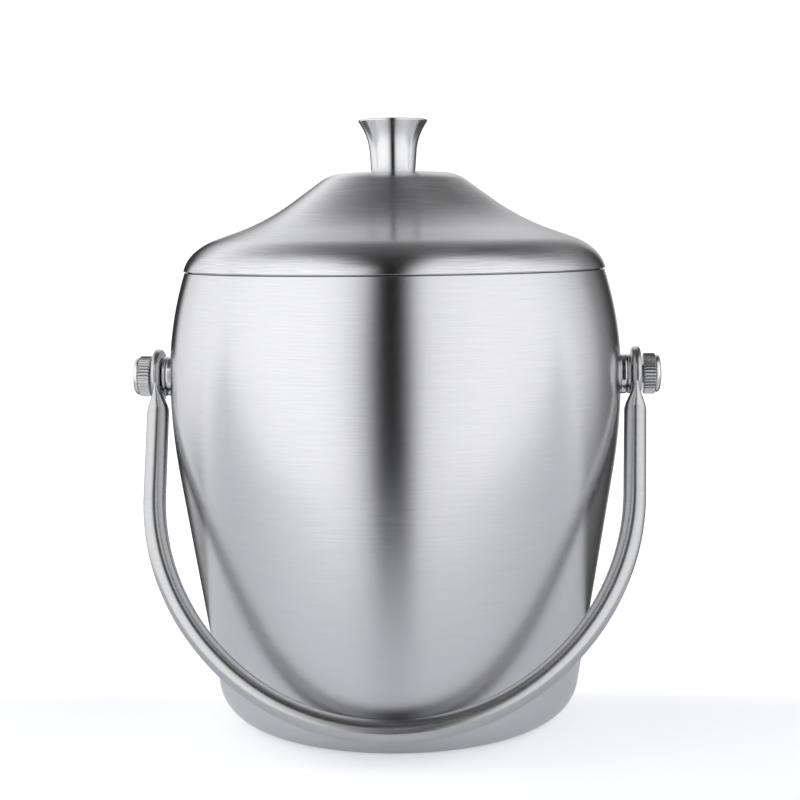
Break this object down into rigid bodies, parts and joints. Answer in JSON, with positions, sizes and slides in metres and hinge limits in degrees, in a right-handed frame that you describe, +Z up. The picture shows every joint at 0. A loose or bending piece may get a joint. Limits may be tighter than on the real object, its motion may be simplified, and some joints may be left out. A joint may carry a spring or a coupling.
{
  "type": "ice bucket",
  "caption": "Double-walled barrel-shaped steel ice bucket with a domed lift-off lid, a flared knob and a swinging bail handle on knurled cap nuts.",
  "frame": {"origin": "on the ground, under the middle of the bucket", "axes": "+Z up; +X towards the right pivot, along the handle's hinge line; -Y towards the side where the handle rests"},
  "size_m": [0.1946, 0.165, 0.2192],
  "materials": {
    "brushed_wall": "satin, fine brushing round the wall",
    "brushed_lid": "satin, fine brushing round the lid",
    "satin_well": "fine satin",
    "polished_knob": "mirror polish",
    "polished_bar": "bright satin polish",
    "polished_pivot": "polished, turned",
    "knurled_nut": "straight knurling with a polished dome",
    "fastener_steel": "plain machined"
  },
  "bodies": {
    "bucket": {"outer_shell": "brushed_wall", "inner_liner": "satin_well", "base_plate": "satin_well", "pivot_stud_left": "fastener_steel", "stud_plate_left": "fastener_steel", "pivot_boss_left": "polished_pivot", "pivot_washer_left": "polished_pivot", "pivot_sleeve_left": "fastener_steel", "pivot_stud_right": "fastener_steel", "stud_plate_right": "fastener_steel", "pivot_boss_right": "polished_pivot", "pivot_washer_right": "polished_pivot", "pivot_sleeve_right": "fastener_steel"},
    "lid": {"lid_shell": "brushed_lid", "lid_pan": "satin_well", "lid_knob": "polished_knob", "knob_screw": "fastener_steel", "knob_washer": "fastener_steel"},
    "handle": {"bail_handle": "polished_bar"},
    "nut_left": {"cap_nut_left": "knurled_nut"},
    "nut_right": {"cap_nut_right": "knurled_nut"}
  },
  "joints": [
    {"name": "handle_swing", "type": "hinge", "parent": "bucket", "child": "handle", "pos_m": [0, 0, 0.126], "axis": [-1, 0, 0], "range_deg": [0, 295]},
    {"name": "lid_lift", "type": "slide", "parent": "bucket", "child": "lid", "axis": [0, 0, 1], "range_m": [0, 0.2]},
    {"name": "nut_left_turn", "type": "hinge", "parent": "bucket", "child": "nut_left", "pos_m": [-0.093, 0, 0.126], "axis": [-1, 0, 0], "continuous": true},
    {"name": "nut_right_turn", "type": "hinge", "parent": "bucket", "child": "nut_right", "pos_m": [0.093, 0, 0.126], "axis": [1, 0, 0], "continuous": true}
  ]
}
